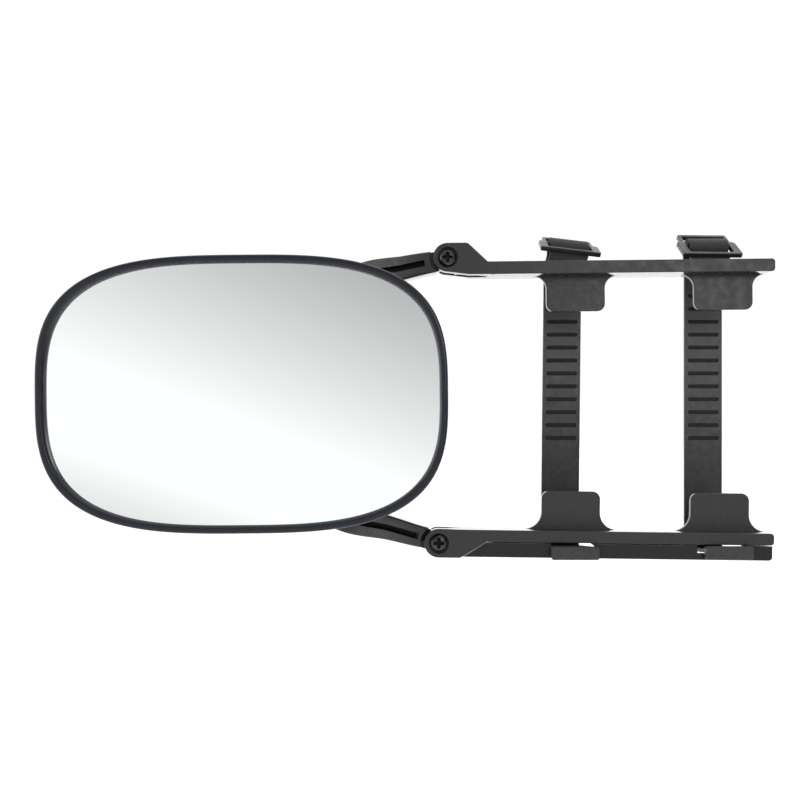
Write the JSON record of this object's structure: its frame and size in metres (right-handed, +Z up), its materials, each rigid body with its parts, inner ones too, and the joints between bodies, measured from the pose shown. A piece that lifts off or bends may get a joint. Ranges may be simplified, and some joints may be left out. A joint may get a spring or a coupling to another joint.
{
  "type": "towing mirror",
  "caption": "Clip-on towing mirror: oval convex mirror head on a ball joint, a wishbone yoke and two hinged arms that clamp a vehicle's door mirror with hooks and rubber straps.",
  "frame": {"origin": "centre of the clamp's mouth, in the plane where the pads of the four hooks press on the host mirror", "axes": "+X along the arms away from the head, +Y away from the driver (the glass faces -Y), +Z up"},
  "size_m": [0.4009, 0.0705, 0.1901],
  "materials": {
    "mirror_glass": "polished convex mirror",
    "black_plastic": "fine grained moulded plastic",
    "bezel_plastic": "satin gloss moulded plastic",
    "rubber": "matte rubber",
    "liner_plastic": "natural acetal",
    "foam": "closed cell foam",
    "zinc_steel": "zinc plated",
    "dark_steel": "black zinc plated"
  },
  "bodies": {
    "yoke": {"yoke": "black_plastic", "ball_stud": "zinc_steel", "ball_stud_washer": "zinc_steel", "ball_stud_nut": "zinc_steel"},
    "ball_liner": {"ball_liner": "liner_plastic"},
    "pressure_cup": {"pressure_cup": "liner_plastic"},
    "head": {"mirror_glass": "mirror_glass", "glass_backing_pad": "foam", "glass_carrier": "black_plastic", "head_bezel": "bezel_plastic", "head_shell": "black_plastic", "friction_spring": "dark_steel", "socket_retainer": "zinc_steel", "retainer_screw_1": "zinc_steel", "retainer_screw_2": "zinc_steel", "retainer_screw_3": "zinc_steel"},
    "upper_arm": {"upper_arm": "black_plastic", "upper_pivot_screw": "dark_steel", "upper_pivot_washer": "zinc_steel", "upper_pivot_nut": "zinc_steel", "upper_left_hook_pad": "rubber", "upper_right_hook_pad": "rubber", "left_strap_loop": "rubber", "right_strap_loop": "rubber"},
    "lower_arm": {"lower_arm": "black_plastic", "lower_pivot_screw": "dark_steel", "lower_pivot_washer": "zinc_steel", "lower_pivot_nut": "zinc_steel", "lower_left_hook_pad": "rubber", "lower_right_hook_pad": "rubber", "strap_anchor_rail": "black_plastic"},
    "left_strap": {"left_strap": "rubber"},
    "right_strap": {"right_strap": "rubber"},
    "left_buckle": {"left_buckle": "black_plastic"},
    "right_buckle": {"right_buckle": "black_plastic"}
  },
  "joints": [
    {"name": "head_pan", "type": "hinge", "parent": "yoke", "child": "ball_liner", "pos_m": [-0.2234, 0, 0.0022], "axis": [0, 0, 1], "range_deg": [-7, 7]},
    {"name": "head_tilt", "type": "hinge", "parent": "ball_liner", "child": "pressure_cup", "pos_m": [-0.2234, 0, 0.0022], "axis": [1, 0, 0], "range_deg": [-6, 6]},
    {"name": "head_roll", "type": "hinge", "parent": "pressure_cup", "child": "head", "pos_m": [-0.2234, 0, 0.0022], "axis": [0, 1, 0], "range_deg": [-7, 7]},
    {"name": "lower_arm_pivot", "type": "hinge", "parent": "yoke", "child": "lower_arm", "pos_m": [-0.1184, -0.008, -0.0796], "axis": [0, -1, 0], "range_deg": [0, 5]},
    {"name": "upper_arm_pivot", "type": "hinge", "parent": "yoke", "child": "upper_arm", "pos_m": [-0.1135, -0.008, 0.0794], "axis": [0, -1, 0], "range_deg": [-5, 0]},
    {"name": "left_strap_swing", "type": "hinge", "parent": "lower_arm", "child": "left_strap", "pos_m": [-0.0432, -0.012, -0.0829], "axis": [0, -1, 0], "range_deg": [-5, 0], "deforming": ["left_strap"]},
    {"name": "right_strap_swing", "type": "hinge", "parent": "lower_arm", "child": "right_strap", "pos_m": [0.042, -0.012, -0.084], "axis": [0, -1, 0], "range_deg": [-5, 0], "deforming": ["right_strap"]},
    {"name": "left_buckle_tilt", "type": "hinge", "parent": "upper_arm", "child": "left_buckle", "pos_m": [-0.0406, 0.0143, 0.0916], "axis": [0.9932, 0, -0.1167], "range_deg": [-12, 0]},
    {"name": "right_buckle_tilt", "type": "hinge", "parent": "upper_arm", "child": "right_buckle", "pos_m": [0.0411, 0.0143, 0.0919], "axis": [0.999, 0.0436, 0], "range_deg": [-12, 0]}
  ],
  "couplings": [
    {"joint": "upper_arm_pivot", "follows": "lower_arm_pivot", "ratio": -1},
    {"joint": "left_strap_swing", "follows": "lower_arm_pivot", "ratio": -1},
    {"joint": "right_strap_swing", "follows": "lower_arm_pivot", "ratio": -1}
  ]
}
